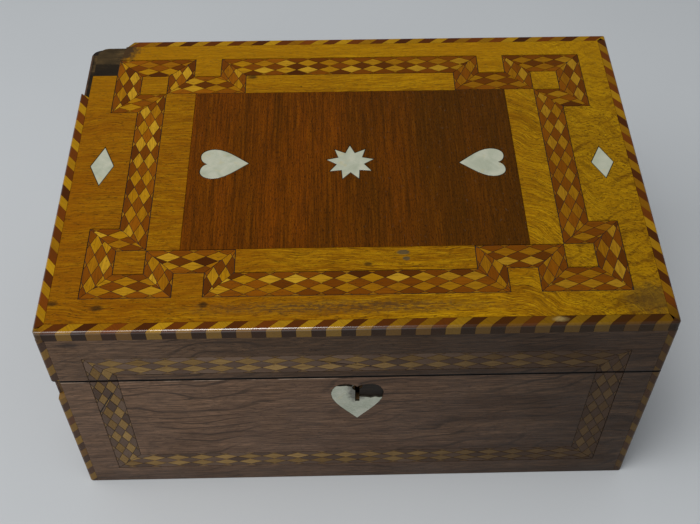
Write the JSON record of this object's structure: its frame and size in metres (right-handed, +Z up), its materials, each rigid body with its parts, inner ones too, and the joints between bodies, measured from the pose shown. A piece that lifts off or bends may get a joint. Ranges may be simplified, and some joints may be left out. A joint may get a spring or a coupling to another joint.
{
  "type": "parquetry box with shell inlay",
  "caption": "Hinged wooden box, veneered, with diamond parquetry bands, two-colour edging strips, shell hearts, lozenges and a star, and a keyhole; empty inside, one lid corner lost.",
  "frame": {"origin": "middle of the underside, on the surface that the box stands on", "axes": "+X along the front to the right, +Y from the front with the keyhole to the hinged back, +Z up"},
  "size_m": [0.3, 0.2076, 0.1432],
  "materials": {
    "carcase_wood": "bare softwood boards, darkened with age",
    "walnut_veneer": "walnut veneer under old worn polish, satin",
    "golden_veneer": "golden figured veneer under old varnish, satin to gloss",
    "mahogany_veneer": "red-brown veneer, grain from front to back, satin",
    "parquetry_wood": "diamonds of light, mid and dark wood under varnish",
    "edging_wood": "slanted blocks of light and dark wood, worn glossy on the outer edge",
    "shell": "polished pearl shell, greenish white with a faint lustre",
    "brass": "dull aged brass"
  },
  "bodies": {
    "base": {"base_bottom_board": "carcase_wood", "base_front_board": "carcase_wood", "base_back_board": "carcase_wood", "base_left_board": "carcase_wood", "base_right_board": "carcase_wood", "base_front_border": "walnut_veneer", "base_front_band": "parquetry_wood", "base_front_field": "walnut_veneer", "base_back_veneer": "walnut_veneer", "base_left_veneer": "walnut_veneer", "base_right_veneer": "walnut_veneer", "base_front_left_strip": "edging_wood", "base_front_right_strip": "edging_wood", "base_back_left_strip": "edging_wood", "base_back_right_strip": "edging_wood", "key_escutcheon": "shell", "lock": "brass", "hinge_left_base_leaf": "brass", "hinge_right_base_leaf": "brass", "hinge_left_pin": "brass", "hinge_right_pin": "brass"},
    "lid": {"lid_top_board": "carcase_wood", "lid_front_board": "carcase_wood", "lid_back_board": "carcase_wood", "lid_left_board": "carcase_wood", "lid_right_board": "carcase_wood", "lid_front_border": "walnut_veneer", "lid_front_band": "parquetry_wood", "lid_front_field": "walnut_veneer", "lid_back_veneer": "walnut_veneer", "lid_left_veneer": "walnut_veneer", "lid_right_veneer": "walnut_veneer", "lid_front_left_strip": "edging_wood", "lid_front_right_strip": "edging_wood", "lid_back_left_strip": "edging_wood", "lid_back_right_strip": "edging_wood", "top_edging_front": "edging_wood", "top_edging_right": "edging_wood", "top_edging_back": "edging_wood", "top_edging_left": "edging_wood", "top_outer_field": "golden_veneer", "top_field_front": "golden_veneer", "top_field_back": "golden_veneer", "top_field_left": "golden_veneer", "top_field_right": "golden_veneer", "top_square_front_left": "golden_veneer", "top_square_front_right": "golden_veneer", "top_square_back_left": "golden_veneer", "top_square_back_right": "golden_veneer", "top_panel": "mahogany_veneer", "top_parquetry_band": "parquetry_wood", "shell_heart_left": "shell", "shell_heart_right": "shell", "shell_lozenge_left": "shell", "shell_lozenge_right": "shell", "shell_star": "shell", "lock_link_plate": "brass", "hinge_left_lid_leaf": "brass", "hinge_right_lid_leaf": "brass"}
  },
  "joints": [
    {"name": "lid_hinge", "type": "hinge", "parent": "base", "child": "lid", "pos_m": [0, 0.1013, 0.1021], "axis": [-1, 0, 0], "range_deg": [0, 95]}
  ]
}
